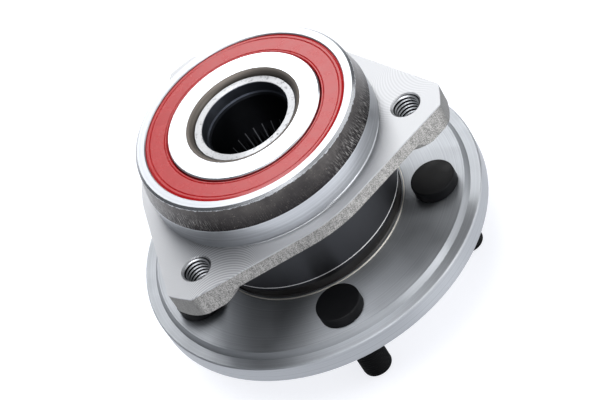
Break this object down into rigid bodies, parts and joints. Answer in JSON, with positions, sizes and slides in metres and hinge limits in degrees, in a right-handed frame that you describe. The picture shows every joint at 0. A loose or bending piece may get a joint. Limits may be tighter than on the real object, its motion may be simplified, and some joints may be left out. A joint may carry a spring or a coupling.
{
  "type": "wheel hub bearing",
  "caption": "Flanged wheel hub bearing unit: ball bearing in a three-lobed knuckle flange, turning hub with a studded wheel flange and splined bore.",
  "frame": {"origin": "on the bearing axis, in the plane of the wheel flange's outboard mounting face", "axes": "+Z along the bearing axis, pointing inboard to the knuckle; one threaded flange lobe points along -Y, so the flange is symmetric about the YZ plane; the unit stands on its stud tips below the origin"},
  "size_m": [0.152, 0.152, 0.1054],
  "materials": {
    "forged_steel": "machined faces over a grey forged skin",
    "hub_steel": "fine turned",
    "ground_steel": "ground",
    "ball_steel": "lapped",
    "cage_polymer": "moulded",
    "seal_steel": "pressed sheet",
    "red_rubber": "moulded satin",
    "black_rubber": "moulded",
    "stud_steel": "black phosphate"
  },
  "bodies": {
    "knuckle_side": {"outer_ring": "forged_steel", "inboard_seal_case": "seal_steel", "inboard_seal_rubber": "red_rubber", "outboard_seal_case": "seal_steel", "outboard_seal_rubber": "black_rubber"},
    "hub": {"wheel_hub": "hub_steel", "inboard_inner_ring": "ground_steel", "outboard_inner_ring": "ground_steel", "wheel_stud_1": "stud_steel", "wheel_stud_2": "stud_steel", "wheel_stud_3": "stud_steel", "wheel_stud_4": "stud_steel", "wheel_stud_5": "stud_steel"},
    "inboard_row": {"inboard_cage": "cage_polymer", "inboard_ball_01": "ball_steel", "inboard_ball_02": "ball_steel", "inboard_ball_03": "ball_steel", "inboard_ball_04": "ball_steel", "inboard_ball_05": "ball_steel", "inboard_ball_06": "ball_steel", "inboard_ball_07": "ball_steel", "inboard_ball_08": "ball_steel", "inboard_ball_09": "ball_steel", "inboard_ball_10": "ball_steel", "inboard_ball_11": "ball_steel", "inboard_ball_12": "ball_steel", "inboard_ball_13": "ball_steel", "inboard_ball_14": "ball_steel", "inboard_ball_15": "ball_steel"},
    "outboard_row": {"outboard_cage": "cage_polymer", "outboard_ball_01": "ball_steel", "outboard_ball_02": "ball_steel", "outboard_ball_03": "ball_steel", "outboard_ball_04": "ball_steel", "outboard_ball_05": "ball_steel", "outboard_ball_06": "ball_steel", "outboard_ball_07": "ball_steel", "outboard_ball_08": "ball_steel", "outboard_ball_09": "ball_steel", "outboard_ball_10": "ball_steel", "outboard_ball_11": "ball_steel", "outboard_ball_12": "ball_steel", "outboard_ball_13": "ball_steel", "outboard_ball_14": "ball_steel", "outboard_ball_15": "ball_steel"}
  },
  "joints": [
    {"name": "hub_spin", "type": "hinge", "parent": "knuckle_side", "child": "hub", "pos_m": [0, 0, 0.0475], "axis": [0, 0, 1], "continuous": true},
    {"name": "inboard_row_spin", "type": "hinge", "parent": "knuckle_side", "child": "inboard_row", "pos_m": [0, 0, 0.0605], "axis": [0, 0, 1], "continuous": true},
    {"name": "outboard_row_spin", "type": "hinge", "parent": "knuckle_side", "child": "outboard_row", "pos_m": [0, 0, 0.0345], "axis": [0, 0, 1], "continuous": true}
  ],
  "couplings": [
    {"joint": "inboard_row_spin", "follows": "hub_spin", "ratio": 0.4337},
    {"joint": "outboard_row_spin", "follows": "hub_spin", "ratio": 0.4337}
  ]
}
